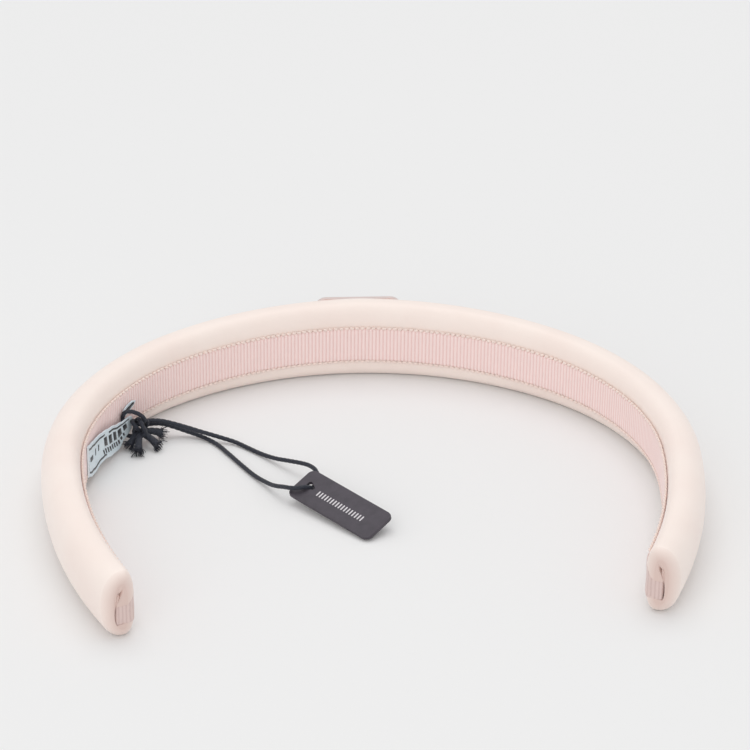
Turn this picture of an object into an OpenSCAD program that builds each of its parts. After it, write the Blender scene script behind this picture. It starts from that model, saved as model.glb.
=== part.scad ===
// Padded headband lying on its edge: the crown points to +Y, the two tips to -Y,
// the band's width runs along Z and its lower edge rests on the plane z = 0.
// A sprung core strip, a foam pad, a leather cover and a ribbon lining follow one
// hoop line. They are cut at two planes, where the hoop's flex turns the arms.
// All lengths are in millimetres and all angles in degrees.

/* [Hoop] */
// Radius of the inner face at the crown
crown_r = 70.5; // [66:0.5:76]
// Half of the crown arc's angle
crown_angle = 38; // [36:0.5:40]
// Radius of the inner face at each shoulder
shoulder_r = 57.5; // [54:0.5:62]
// Angle of each shoulder arc
shoulder_angle = 53; // [50:0.5:56]
// Radius of the inner face along each arm
arm_r = 122.5; // [110:0.5:140]
// Angle of an arm's arc, the mean of both arms
arm_angle = 24.5; // [22:0.5:27]
// How much further the left arm's arc turns than that, and how much less the right arm's
arm_skew = 1.4; // [0:0.1:1.5]

/* [Band] */
// Height of the band at the crown
crown_height = 19.2; // [18:0.1:21]
// Height of the band at the tips
tip_height = 15.6; // [15:0.1:18]
// Thickness of the padded band at the crown
crown_depth = 9.8; // [9.2:0.1:11]
// Thickness of the padded band at the tips
tip_depth = 7.8; // [7.4:0.1:9]
// Thickness of the leather cover
cover_t = 0.8; // [0.6:0.1:1]
// Gap between the cover's two turned-in edges, under the lining
cover_gap = 5; // [4.4:0.1:6]

/* [Core] */
// Width of the sprung core strip
core_w = 7; // [6:0.1:7]
// Thickness of the core strip
core_t = 1.4; // [1:0.1:1.8]

/* [Lining] */
// Width of the ribbed ribbon that lines the band
ribbon_w = 8.5; // [7.5:0.1:9]
// Thickness of the ribbon
ribbon_t = 0.5; // [0.4:0.05:0.6]
// How far the ribbon wraps across each tip's end face
tab_reach = 5.4; // [5.3:0.1:6]

/* [Badge] */
// Width of the plaque on the crown
badge_w = 21.5; // [16:0.5:22]
// Height of the plaque
badge_h = 13.5; // [11:0.5:14]
// Corner radius of the plaque
badge_corner = 3; // [1:0.5:5]
// Thickness of the plaque's metal base
badge_base_t = 1.1; // [0.9:0.1:1.4]
// Distance of each fixing post from the plaque's middle
post_x = 6; // [5:0.5:7]
// Diameter of the fixing posts
post_d = 1.2; // [1:0.1:1.4]

/* [Label] */
// Turn of the hoop at the label's pointed end
label_from = 55.5; // [55:0.5:56]
// Turn of the hoop at the label's sewn end
label_to = 83; // [80:0.5:86]
// Thickness of the woven label
label_t = 0.35; // [0.3:0.05:0.4]

/* [Hang tag] */
// Length of the hang tag
tag_l = 25.5; // [22:0.5:28]
// Width of the hang tag
tag_w = 8.8; // [8.4:0.1:9]
// Thickness of the hang tag
tag_t = 0.8; // [0.6:0.1:0.9]
// Diameter of the hole for the cord
tag_hole_d = 2.8; // [2.6:0.1:3]
// Diameter of the cord
cord_d = 1.05; // [0.8:0.05:1.05]

/* [Hidden] */

$fn = 48;

LEFT = -1;
RIGHT = 1;

// Turns of the hoop at the ends of its arcs, counted from the crown
shoulder_end = crown_angle + shoulder_angle;
function tip_turn(side) = shoulder_end + arm_angle - side * arm_skew;
// Half of the cut between the crown and each arm, as a turn of the hoop
cut_turn = 0.12;

// Shape of the padded section: how far out its widest line lies, as a fraction of the
// depth, the powers that round its outer and its inner half, and the flat on each edge
widest_at = 0.32;
outer_round = 2.2;
outer_edge_round = 2.4;
edge_flat = 1.015;
inner_round = 2;
crown_edge_round = 4.5;
tip_edge_round = 3.2;
// Angles around the section, from the outer face, that its points are taken at
OUTER_HALF = [-90, -80, -60, -40, -20, 0, 20, 40, 60, 80, 90];
AROUND = [
    -167, -150, -130, -112, -98, -90, -80, -60, -40, -20, 0,
    20, 40, 60, 80, 90, 98, 112, 130, 150, 167
];

// Layers of the band, measured outwards from the inner face
core_n = 1.15;
layer_gap = 0.03;
core_clearance = 0.12;
foam_n = core_n + core_t + core_clearance;
foam_corner = 0.25;
seat_clearance = 0.15;
// Height of the lining's middle, as a fraction of the band's height
lining_mid = 0.48;
core_z = 5;

// Stitch rows beside the ribbon: their width and thickness, and where each row lies from
// the lining's middle
stitch_w = 0.4;
stitch_t = 0.35;
STITCH_ROWS = [[-ribbon_w / 2 - stitch_w, -ribbon_w / 2], [ribbon_w / 2, ribbon_w / 2 + stitch_w]];

// The plaque presses the padding flat at the crown
badge_sink = 0.9;
seat_n = crown_depth - badge_sink;
badge_z = 10.4;
badge_rim = 1.1;
face_inset = 0.5;
face_proud = 0.2;
face_t = face_inset + face_proud;
post_end = 0;
post_z = lining_mid * crown_height;
post_clearance = 0.2;
clip_d = 3.6;
clip_t = 0.35;
clip_y = 0.05;

// Tip closure: where the core and the pad stop, and where the cover starts to fold in,
// as turns of the hoop before the tip
pad_stop = 1.9;
fold_start = 1.25;
// The cover's rounded end: turn back from the tip, and how far it draws in there
FOLD = [[1.08, 0], [0.7, 0.25], [0.37, 0.75], [0.14, 1.4], [0, 2.1]];
fold_inset = 2.7;
// The ribbon's end, seen from above: length past the tip and outward position
TAB_OUTLINE = [
    [-2.3, -0.5], [-1.35, -0.25], [-0.5, 0.35], [0.15, 1.1], [0.5, 2], [0.5, tab_reach],
    [0, tab_reach], [0, 2.1], [-0.3, 1.35], [-0.8, 0.7], [-1.5, 0.2], [-2.3, 0]
];
tab_start = (layer_gap - TAB_OUTLINE[0][0]) / arm_r * 180 / PI;

// The band's middle in Y lies on the origin
badge_front_n = seat_n + badge_base_t + face_proud;
arm_middle = shoulder_middle() + (shoulder_r - arm_r) * outwards(shoulder_end);
tip_end_y = min([for (q = TAB_OUTLINE) let (turn = tip_turn(LEFT))
    arm_middle[1] + (arm_r + q[1]) * cos(turn) - q[0] * sin(turn)]);
crown_y = -(badge_front_n + tip_end_y) / 2;

// Ring stations along the crown and along one arm
CROWN_TURNS = steps(-crown_angle + cut_turn, crown_angle - cut_turn, 16);
function arm_turns(side) = concat(
    steps(crown_angle + cut_turn, shoulder_end, 10),
    [for (i = [1:7]) mix(shoulder_end, tip_turn(side) - fold_start, i / 7)]
);

// The label: position along it, gap behind it, its lower and its upper edge
LABEL_SHAPE = [
    [0, 0.3, 7.8, 8.6], [0.05, 0.9, 6.8, 9.3], [0.1, 1.25, 5.8, 9.6], [0.16, 1.35, 4.6, 7.2],
    [0.22, 1.3, 2.8, 7.2], [0.31, 1.2, 1.1, 7.6], [0.45, 1.2, 1.5, 8.9], [0.6, 0.9, 2.3, 9.6],
    [0.68, 0.5, 2.1, 9.8], [0.76, 0.3, 1.6, 9.9], [0.88, 0.25, 2.2, 10.6], [1, 0.1, 3.4, 11.3]
];
// Where the label is sewn down: position along it, gap behind it, lower and upper end
LABEL_SEAMS = [[0.05, 1.15, 7.2, 8.9], [0.965, 0.2, 4, 10.4]];
seam_reach = 0.03;
// The route of the cord's eye around the label: turn, outward position and height
EYE = [
    [57.8, -4.4, 3.4], [58.6, -3.4, 2.5], [59.4, -2.3, 2.5], [59.9, -1.4, 3.3],
    [60, -1.12, 4.6], [60, -1.12, 6.4], [60, -1.15, 7.8], [59.9, -1.6, 8.7],
    [59.4, -2.5, 9], [58.6, -3.5, 8.7], [57.6, -4.5, 7.8], [56.8, -5, 6.6], [57, -4.8, 5.6]
];
KNOT_AT = [-53, 21.8, 4.6];
knot_r = 2;
TAILS = [[-47.4, 24, 1.6], [-48.3, 18.4, 1], [-53.4, 15.4, 1], [-55.6, 18.8, 1]];
tail_d = 1.6;
tail_start = 1.6;

// The cord's route in the object's frame: from the knot along the surface that the band
// lies on, under the tag's far corner, up through its hole, over its near corner and back
ROUTE = [
    [-52.3, 23.1, 5.3], [-50.5, 24.1, 5.1], [-48, 24.5, 4.7], [-45.5, 24.6, 4],
    [-42.2, 24.2, 3.1], [-39, 23.3, 2.4], [-36.5, 22.6, 1.9], [-34.2, 22, 1.4],
    [-30.8, 20.7, 0.8], [-27.8, 18.1, 0.6], [-24.7, 14.9, 0.7], [-21.7, 11.5, 1.4],
    [-18.8, 8.5, 2.4], [-15.7, 5.4, 3.4], [-14, 3.3, 3.9], [-12.8, 1, 4.1], [-12.3, -1.1, 3.6],
    [-12.8, -3, 3.3], [-13.3, -4.8, 3.1], [-13.8, -5.9, 3.3], [-14.7, -6.8, 4],
    [-15.9, -7.3, 4.3], [-17.3, -7.4, 4.2], [-18.7, -6.8, 3.9], [-20.3, -5, 3.2],
    [-21.8, -3, 2.3], [-23.5, -0.2, 1.4], [-26.5, 4.7, 0.7], [-29.4, 9.9, 0.6],
    [-32.5, 15.7, 0.6], [-34.9, 19.9, 0.6], [-37.5, 23, 0.6], [-39.6, 24.5, 0.8],
    [-42.5, 25.4, 1.5], [-45.5, 25.6, 2.6], [-48, 25.5, 3.4], [-50.5, 24.7, 3.8],
    [-52.3, 23.4, 3.9]
];
route_steps = 2;
cord_sides = 8;

// The tag leans on the cord: its middle, its heading, its slope and its roll
TAG_AT = [-7.8, -13.3, 3];
tag_heading = -47;
tag_slope = 4;
tag_roll = 20;
tag_corner = 1.6;
tag_hole_x = -9.4;

// Evenly spaced values from one limit to the other
function steps(from, to, count) = [for (i = [0:count]) from + (to - from) * i / count];
function clamp(value, low, high) = max(low, min(high, value));
function signed_pow(value, power) = sign(value) * pow(abs(value), power);
function unit(v) = v / norm(v);
function mix(a, b, t) = a + (b - a) * t;

// Centre of the shoulder arc, from the middle of the inner face at the crown
function outwards(turn) = [sin(turn), cos(turn)];
function shoulder_middle() =
    [0, -crown_r] + (crown_r - shoulder_r) * outwards(crown_angle);

// Point of the inner face line after a turn away from the crown
function inner_line(turn) =
    turn <= crown_angle ? [0, -crown_r] + crown_r * outwards(turn)
    : turn <= shoulder_end ? shoulder_middle() + shoulder_r * outwards(turn)
    : arm_middle + arm_r * outwards(turn);

// Length along the inner face line, and the same as a fraction of half the hoop
function along(turn) = (PI / 180) * (
    min(turn, crown_angle) * crown_r
    + clamp(turn - crown_angle, 0, shoulder_angle) * shoulder_r
    + max(turn - shoulder_end, 0) * arm_r);
function share(turn) = along(abs(turn)) / along(tip_turn(sign(turn)));
function depth_at(turn) = mix(crown_depth, tip_depth, pow(share(turn), 2));
function height_at(turn) = mix(crown_height, tip_height, share(turn));
function lining_z(turn) = lining_mid * height_at(turn);

// A point of the band: outward position n and height z at a turn, flattened at the crown
function band_point(turn, n, z, seat) = let (
    p = inner_line(abs(turn)) + n * outwards(abs(turn))
) [(turn < 0 ? -1 : 1) * p[0], min(p[1], seat) + crown_y, z];

// Outward position and height of the padded section's surface, drawn in by inset
function section_point(turn, angle, inset) = let (
    depth = depth_at(turn) - 2 * inset,
    half = height_at(turn) / 2 - inset,
    c = cos(angle),
    inner_edge_round = mix(crown_edge_round, tip_edge_round, pow(share(turn), 2)),
    bulge = c > 0
        ? (1 - widest_at) * pow(c, 2 / outer_round)
        : -widest_at * pow(-c, 2 / inner_round),
    rise = c > 0
        ? clamp(edge_flat * signed_pow(sin(angle), 2 / outer_edge_round), -1, 1)
        : signed_pow(sin(angle), 2 / inner_edge_round)
) [inset + depth * (widest_at + bulge), height_at(turn) / 2 + half * rise];
function section_outline(turn, angles, inset) =
    [for (angle = angles) section_point(turn, angle, inset)];

// One side of the cover's section, from one turned-in edge round to the other
function turned_edge(turn, side, n) = [n, lining_z(turn) + side * cover_gap / 2];
function reversed(list) = [for (i = [len(list) - 1:-1:0]) list[i]];
function cover_side(turn, inset) = concat(
    [turned_edge(turn, -1, inset)], section_outline(turn, AROUND, inset), [turned_edge(turn, 1, inset)]
);
function foam_section(turn) = let (
    inset = cover_t + layer_gap,
    inside = inset + foam_corner
) concat(
    section_outline(turn, OUTER_HALF, inset),
    [[foam_n, height_at(turn) - inside], [foam_n, inside]]
);
function bar_section(n0, n1, z0, z1) = [[n0, z0], [n1, z0], [n1, z1], [n0, z1]];

// Rings of points: outlines carried along the hoop, and rings of an arm in the order in
// which the turn grows from left to right
function band_ring(turn, outline, seat) =
    [for (q = outline) band_point(turn, q[0], q[1], seat)];
function in_order(side, rings) = side == LEFT ? reversed(rings) : rings;

// A closed solid through a list of rings with equal counts of points
module skin(rings) {
    sides = len(rings[0]);
    last = len(rings) - 1;
    polyhedron(
        points = [for (ring = rings) each ring],
        faces = concat(
            [[for (i = [0:sides - 1]) i]],
            [for (r = [0:last - 1], i = [0:sides - 1]) let (j = (i + 1) % sides) each [
                [r * sides + i, (r + 1) * sides + j, r * sides + j],
                [r * sides + i, (r + 1) * sides + i, (r + 1) * sides + j]
            ]],
            [[for (i = [sides - 1:-1:0]) last * sides + i]]
        )
    );
}

// Smooth points between a route's own points
function route_point(route, i, t) = let (
    last = len(route) - 1,
    a = route[max(i - 1, 0)],
    b = route[i],
    c = route[min(i + 1, last)],
    d = route[min(i + 2, last)]
) 0.5 * (2 * b + (c - a) * t + (2 * a - 5 * b + 4 * c - d) * t * t
    + (3 * b - a - 3 * c + d) * t * t * t);
function smooth_route(route, count) = concat(
    [for (i = [0:len(route) - 2], k = [0:count - 1]) route_point(route, i, k / count)],
    [route[len(route) - 1]]
);
function route_direction(route, i) =
    unit(route[min(i + 1, len(route) - 1)] - route[max(i - 1, 0)]);
// Sideways directions carried along a route without twist
function carried(route, i, side) = i >= len(route) ? [] : let (
    t = route_direction(route, i),
    next = unit(side - (side * t) * t)
) concat([next], carried(route, i + 1, next));

// A round tube along a route
module tube(route, diameter) {
    sideways = carried(route, 0, [0.1, 0.2, 1]);
    skin([for (i = [0:len(route) - 1]) let (
        across = cross(route_direction(route, i), sideways[i])
    ) [for (k = [0:cord_sides - 1]) let (angle = 360 * k / cord_sides)
        route[i] + diameter / 2 * (cos(angle) * sideways[i] + sin(angle) * across)]]);
}

// A ring sector about the crown's centre, to equal turns on both sides
module crown_sector(radius, thickness, turn, z, height) {
    translate([0, crown_y - crown_r, z])
        rotate([0, 0, 90 - turn])
            rotate_extrude(angle = 2 * turn, $fn = 180)
                translate([radius, 0])
                    square([thickness, height]);
}

// A plate with round corners, centred in X and Y
module rounded_plate(length, width, thickness, corner) {
    translate([-length / 2 + corner, -width / 2, 0])
        cube([length - 2 * corner, width, thickness]);
    translate([-length / 2, -width / 2 + corner, 0])
        cube([length, width - 2 * corner, thickness]);
    for (x = [-1, 1], y = [-1, 1])
        translate([x * (length / 2 - corner), y * (width / 2 - corner), 0])
            cylinder(r = corner, h = thickness);
}

module left_side() {
    mirror([1, 0, 0])
        children();
}

// Core strip: sprung plastic, drilled for the plaque's posts
module core_crown() {
    color("white")
        difference() {
            crown_sector(crown_r + core_n, core_t, crown_angle - cut_turn, core_z, core_w);
            for (x = [-post_x, post_x])
                translate([x, crown_y + seat_n, post_z])
                    rotate([90, 0, 0])
                        cylinder(d = post_d + 2 * post_clearance, h = 2 * seat_n);
        }
}

function arm_pad_turns(side) =
    [for (turn = arm_turns(side)) min(turn, tip_turn(side) - pad_stop)];

module arm_core(side) {
    outline = bar_section(core_n, core_n + core_t, core_z, core_z + core_w);
    skin(in_order(side, [for (turn = arm_pad_turns(side)) band_ring(side * turn, outline, seat_n)]));
}

module core_left() {
    color("white")
        arm_core(LEFT);
}

module core_right() {
    color("white")
        arm_core(RIGHT);
}

// Foam pad: a crescent between the core strip and the cover
function foam_ring(turn) = band_ring(turn, foam_section(turn), seat_n - cover_t - seat_clearance);

module arm_foam(side) {
    skin(in_order(side, [for (turn = arm_pad_turns(side)) foam_ring(side * turn)]));
}

module foam_crown() {
    color("lightyellow")
        skin([for (turn = CROWN_TURNS) foam_ring(turn)]);
}

module foam_left() {
    color("lightyellow")
        arm_foam(LEFT);
}

module foam_right() {
    color("lightyellow")
        arm_foam(RIGHT);
}

// Cover: leather wrapped round the pad, turned in under the lining and folded in at the
// tips; outside and inside are how far its two faces draw in from the band's surface
function cover_ring(turn, outside, inside) = concat(
    band_ring(turn, cover_side(turn, outside), seat_n),
    band_ring(turn, reversed(cover_side(turn, inside)), seat_n - cover_t)
);

module arm_cover(side) {
    skin(in_order(side, concat(
        [for (turn = arm_turns(side)) cover_ring(side * turn, 0, cover_t)],
        [for (fold = FOLD) cover_ring(side * (tip_turn(side) - fold[0]), fold[1], fold_inset)]
    )));
}

module cover_crown() {
    color("seashell")
        skin([for (turn = CROWN_TURNS) cover_ring(turn, 0, cover_t)]);
}

module cover_left() {
    color("seashell")
        arm_cover(LEFT);
}

module cover_right() {
    color("seashell")
        arm_cover(RIGHT);
}

// Strips of the lining: an outline at each turn, measured from the lining's middle
function strip_ring(turn, n0, z0, z1) =
    band_ring(turn, bar_section(n0, 0, lining_z(turn) + z0, lining_z(turn) + z1), seat_n);

module arm_strip(side, turns, n0, z0, z1) {
    skin(in_order(side, [for (turn = turns) strip_ring(side * turn, n0, z0, z1)]));
}

module crown_strip(n0, z0, z1) {
    skin([for (turn = CROWN_TURNS) strip_ring(turn, n0, z0, z1)]);
}

// Ribbon lining on the inner face
module arm_ribbon(side) {
    turns = concat(arm_turns(side), [tip_turn(side) - tab_start]);
    arm_strip(side, turns, -ribbon_t, -ribbon_w / 2, ribbon_w / 2);
}

module ribbon_crown() {
    color("mistyrose")
        crown_strip(-ribbon_t, -ribbon_w / 2, ribbon_w / 2);
}

module ribbon_left() {
    color("mistyrose")
        arm_ribbon(LEFT);
}

module ribbon_right() {
    color("mistyrose")
        arm_ribbon(RIGHT);
}

// Two rows of stitches that hold the ribbon's edges down
module arm_stitches(side) {
    for (row = STITCH_ROWS)
        arm_strip(side, arm_turns(side), -stitch_t, row[0], row[1]);
}

module edge_stitches_crown() {
    color("lightsalmon")
        for (row = STITCH_ROWS)
            crown_strip(-stitch_t, row[0], row[1]);
}

module edge_stitches_left() {
    color("lightsalmon")
        arm_stitches(LEFT);
}

module edge_stitches_right() {
    color("lightsalmon")
        arm_stitches(RIGHT);
}

// Ribbon end folded over the rounded tip
module tip_tab(side) {
    turn = tip_turn(side);
    tip = inner_line(turn);
    translate([tip[0], tip[1] + crown_y, lining_mid * tip_height - ribbon_w / 2])
        rotate([0, 0, -turn])
            linear_extrude(ribbon_w)
                polygon(TAB_OUTLINE);
}

module tip_tab_left() {
    color("rosybrown")
        left_side() tip_tab(LEFT);
}

module tip_tab_right() {
    color("rosybrown")
        tip_tab(RIGHT);
}

// Plaque on the crown: a metal base with a rim and two posts, and an enamel face
module on_badge_seat(n) {
    translate([0, crown_y + n, badge_z])
        rotate([-90, 0, 0])
            children();
}

module badge_base() {
    color("silver") {
        on_badge_seat(seat_n)
            difference() {
                rounded_plate(badge_w, badge_h, badge_base_t, badge_corner);
                translate([0, 0, badge_base_t - face_inset])
                    rounded_plate(badge_w - 2 * badge_rim, badge_h - 2 * badge_rim,
                        2 * face_inset, badge_corner - badge_rim);
            }
        for (x = [-post_x, post_x])
            translate([x, crown_y + post_end, post_z])
                rotate([-90, 0, 0])
                    cylinder(d = post_d, h = seat_n - post_end + badge_base_t / 4);
    }
}

module badge_face() {
    color("pink")
        on_badge_seat(seat_n + badge_base_t - face_inset)
            rounded_plate(badge_w - 2 * badge_rim, badge_h - 2 * badge_rim,
                face_t, badge_corner - badge_rim);
}

// Two push-on clips that hold the plaque's posts behind the core strip
module badge_clips() {
    color("gray")
        for (x = [-post_x, post_x])
            translate([x, crown_y + clip_y, post_z])
                rotate([-90, 0, 0])
                    difference() {
                        cylinder(d = clip_d, h = clip_t);
                        translate([0, 0, -clip_t])
                            cylinder(d = post_d, h = 3 * clip_t);
                    }
}

// Woven label, sewn to the lining at both ends and slack between them
function label_turn(t) = mix(label_from, label_to, t);
function label_outer(gap) = -ribbon_t - gap;

module label() {
    color("lightsteelblue")
        left_side()
            skin([for (row = LABEL_SHAPE) let (n = label_outer(row[1]))
                band_ring(label_turn(row[0]), bar_section(n - label_t, n, row[2], row[3]), seat_n)]);
}

module label_stitches() {
    color("white")
        left_side()
            for (seam = LABEL_SEAMS) let (n = label_outer(seam[1]) - label_t - layer_gap)
                skin([for (t = [seam[0], seam[0] + seam_reach])
                    band_ring(label_turn(t), bar_section(n - stitch_t / 2, n, seam[2], seam[3]), seat_n)]);
}

// Cord: an eye round the label, a knot with frayed tails, and two strands to the tag
module cord_eye() {
    color("midnightblue")
        left_side()
            tube([for (q = EYE) band_point(q[0], q[1], q[2], seat_n)], cord_d);
}

module cord_knot() {
    color("midnightblue")
        translate(KNOT_AT)
            sphere(r = knot_r);
}

module cord_tails() {
    color("midnightblue")
        for (end = TAILS) let (start = KNOT_AT + tail_start * unit(end - KNOT_AT))
            tube([start, mix(start, end, 0.5) + [0, 0, 0.3], end], tail_d);
}

module tag_cord() {
    color("midnightblue")
        tube(smooth_route(ROUTE, route_steps), cord_d);
}

// Hang tag: a stiff plate with a round hole for the cord
module hang_tag() {
    color("dimgray")
        translate(TAG_AT)
            rotate([0, 0, tag_heading])
                rotate([0, tag_slope, 0])
                    rotate([tag_roll, 0, 0])
                        difference() {
                            translate([0, 0, -tag_t / 2])
                                rounded_plate(tag_l, tag_w, tag_t, tag_corner);
                            translate([tag_hole_x, 0, -tag_t])
                                cylinder(d = tag_hole_d, h = 2 * tag_t);
                        }
}

core_crown();
core_left();
core_right();
foam_crown();
foam_left();
foam_right();
cover_crown();
cover_left();
cover_right();
ribbon_crown();
ribbon_left();
ribbon_right();
edge_stitches_crown();
edge_stitches_left();
edge_stitches_right();
tip_tab_left();
tip_tab_right();
badge_base();
badge_face();
badge_clips();
label();
label_stitches();
cord_eye();
cord_knot();
cord_tails();
tag_cord();
hang_tag();
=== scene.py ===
"""Looks of a padded leather hair band: ribbon lining, plaque, woven label, and a tag on a cord.

The band's shape follows the same three arcs as its CAD source, in millimetres, and becomes metres
where a mesh is made. Distances named "run" count along the band's inner face from its crown.
"""

import contextlib
import math
import random

import bmesh
import bpy
from mathutils import Matrix, Vector, noise


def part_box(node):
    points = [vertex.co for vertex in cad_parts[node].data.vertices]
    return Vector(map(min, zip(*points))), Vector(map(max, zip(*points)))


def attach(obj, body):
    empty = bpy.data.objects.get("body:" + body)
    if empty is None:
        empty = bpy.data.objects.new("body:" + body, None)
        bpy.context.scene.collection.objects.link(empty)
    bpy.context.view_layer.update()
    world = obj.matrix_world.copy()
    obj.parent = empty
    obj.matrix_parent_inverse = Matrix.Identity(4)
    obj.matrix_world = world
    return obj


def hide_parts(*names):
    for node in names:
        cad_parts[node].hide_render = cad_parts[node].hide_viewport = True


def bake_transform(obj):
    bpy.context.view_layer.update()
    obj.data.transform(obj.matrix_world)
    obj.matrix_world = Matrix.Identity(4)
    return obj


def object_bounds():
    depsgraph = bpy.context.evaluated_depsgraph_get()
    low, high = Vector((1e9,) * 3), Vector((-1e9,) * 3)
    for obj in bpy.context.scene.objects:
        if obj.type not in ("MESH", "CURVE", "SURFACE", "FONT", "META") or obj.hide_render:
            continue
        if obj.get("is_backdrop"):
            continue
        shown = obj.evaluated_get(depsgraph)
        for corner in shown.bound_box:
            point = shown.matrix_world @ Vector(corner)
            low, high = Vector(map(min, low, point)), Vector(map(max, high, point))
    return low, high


MM = 0.001

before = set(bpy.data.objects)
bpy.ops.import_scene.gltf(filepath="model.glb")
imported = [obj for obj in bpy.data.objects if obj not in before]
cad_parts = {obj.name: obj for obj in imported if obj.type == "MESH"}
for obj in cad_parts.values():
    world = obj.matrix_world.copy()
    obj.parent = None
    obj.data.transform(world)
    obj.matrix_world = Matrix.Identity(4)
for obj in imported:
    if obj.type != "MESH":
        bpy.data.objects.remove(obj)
CAD_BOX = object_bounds()

# -------- the band's dimensions, in mm
LEFT, RIGHT = -1, 1
SIDE_NAME = {LEFT: "left", RIGHT: "right"}
ARM_BODY = {LEFT: "left_arm", RIGHT: "right_arm"}

# The inner face's three arcs, from the crown to a tip
CROWN_R, SHOULDER_R, ARM_R = 70.5, 57.5, 122.5
CROWN_ANGLE, SHOULDER_ANGLE, ARM_ANGLE = (math.radians(a) for a in (38, 53, 24.5))
ARCS = ((CROWN_R, CROWN_ANGLE), (SHOULDER_R, SHOULDER_ANGLE), (ARM_R, ARM_ANGLE))
# How much further the left arm's arc turns than ARM_ANGLE, and how much less the right arm's
ARM_SKEW = math.radians(1.4)
# Length of the inner face from the crown to each tip
TIP_RUN = {
    side: sum(radius * angle for radius, angle in ARCS) - side * ARM_R * ARM_SKEW
    for side in (LEFT, RIGHT)
}

# The section's size at both ends, where its two halves meet, and the powers that round them
CROWN_HEIGHT, TIP_HEIGHT = 19.2, 15.6
CROWN_DEPTH, TIP_DEPTH = 9.8, 7.8
WIDEST_AT = 0.32
OUTER_ROUND, EDGE_ROUND, EDGE_FLAT = 2.2, 2.4, 1.015
INNER_ROUND, CROWN_INNER_EDGE, TIP_INNER_EDGE = 2, 4.5, 3.2
# Height of the lining's middle, as a share of the band's height
LINING_MID = 0.48
RIBBON_W, RIBBON_T = 8.5, 0.5
# The leather, and the gap that its turned-in edges leave behind the lining
COVER_T, COVER_GAP = 0.8, 5
# Outward positions of the core's outer face and the foam's inner face
CORE_OUTSIDE, PAD_INSIDE = 2.55, 2.67
# The foam's distance in from the leather's outside, its corners, and its end before a tip
PAD_INSET, PAD_CORNER, PAD_STOP = 0.83, 0.25, 4.1
# The flat seat that the plaque lies on, and how softly it meets the round leather
SEAT_N, SEAT_BLUR = 8.9, 0.25
CROWN_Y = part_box("core_crown")[1].y / MM - CORE_OUTSIDE


def heading(turn):
    """The direction out of the band after a turn away from the crown."""
    return Vector((math.sin(turn), math.cos(turn)))


SHOULDER_MID = Vector((0, -CROWN_R)) + (CROWN_R - SHOULDER_R) * heading(CROWN_ANGLE)
ARM_MID = SHOULDER_MID + (SHOULDER_R - ARM_R) * heading(CROWN_ANGLE + SHOULDER_ANGLE)
ARC_MIDDLES = (Vector((0, -CROWN_R)), SHOULDER_MID, ARM_MID)


def place(run):
    """The arc, and the turn, that a run along the inner face comes to."""
    turn = 0
    for index, (radius, angle) in enumerate(ARCS):
        if run <= radius * angle or index == len(ARCS) - 1:
            return index, turn + run / radius
        run -= radius * angle
        turn += angle


def run_at(degrees):
    """The run that a turn of the hoop comes to."""
    turn, run = math.radians(degrees), 0
    for index, (radius, angle) in enumerate(ARCS):
        step = turn if index == len(ARCS) - 1 else min(turn, angle)
        run += radius * step
        turn -= step
    return run


def mix(a, b, t):
    return a + (b - a) * t


def bell(x, middle, width):
    """A smooth hump from 0 to 1 round a middle."""
    return math.exp(-(((x - middle) / width) ** 2))


def soft_min(a, b, blur):
    """The smaller of two values, with a round change between them."""
    return 0.5 * (a + b - math.sqrt((a - b) ** 2 + blur**2))


def hoop(side, run, n, z, seat=None):
    """A point of the band in mm: n outwards from the inner face, z up; seat flattens the crown."""
    index, turn = place(run)
    p = ARC_MIDDLES[index] + (ARCS[index][0] + n) * heading(turn)
    y = p.y if seat is None else soft_min(p.y, seat, SEAT_BLUR)
    return Vector((side * p.x, y + CROWN_Y, z))


def share(side, run):
    return min(run / TIP_RUN[side], 1)


def height_at(side, run):
    return mix(CROWN_HEIGHT, TIP_HEIGHT, share(side, run))


def depth_at(side, run):
    return mix(CROWN_DEPTH, TIP_DEPTH, share(side, run) ** 2)


def lining_z(side, run):
    return LINING_MID * height_at(side, run)


def signed_pow(value, power):
    return math.copysign(abs(value) ** power, value)


def section(side, run, angle, inset):
    """Outward position and height of the padded section's surface, drawn in by inset."""
    depth = depth_at(side, run) - 2 * inset
    half = height_at(side, run) / 2 - inset
    c = math.cos(angle)
    if c > 0:
        bulge = (1 - WIDEST_AT) * c ** (2 / OUTER_ROUND)
        rise = max(-1, min(1, EDGE_FLAT * signed_pow(math.sin(angle), 2 / EDGE_ROUND)))
    else:
        bulge = -WIDEST_AT * (-c) ** (2 / INNER_ROUND)
        inner_edge = mix(CROWN_INNER_EDGE, TIP_INNER_EDGE, share(side, run) ** 2)
        rise = signed_pow(math.sin(angle), 2 / inner_edge)
    return inset + depth * (WIDEST_AT + bulge), height_at(side, run) / 2 + half * rise


# -------- camera
VIEW_TARGET = Vector((3.87, CROWN_Y + 1.36, 0)) * MM
VIEW_DISTANCE = 0.7501
VIEW_ELEVATION, VIEW_YAW, VIEW_ROLL = (math.radians(a) for a in (27.58, -3.484, 0.733))
VIEW_LENS = 147.2


def make_camera():
    """A camera that looks at VIEW_TARGET, turned by yaw, tipped by elevation and rolled."""
    spin = (
        Matrix.Rotation(VIEW_YAW, 4, "Z")
        @ Matrix.Rotation(math.pi / 2 - VIEW_ELEVATION, 4, "X")
        @ Matrix.Rotation(VIEW_ROLL, 4, "Z")
    )
    data = bpy.data.cameras.new("camera")
    data.lens = VIEW_LENS
    data.sensor_width = 36
    data.clip_start = 0.01
    camera = bpy.data.objects.new("camera", data)
    bpy.context.scene.collection.objects.link(camera)
    back = Matrix.Translation((0, 0, VIEW_DISTANCE))
    camera.matrix_world = Matrix.Translation(VIEW_TARGET) @ spin @ back
    bpy.context.scene.camera = camera


make_camera()


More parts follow.
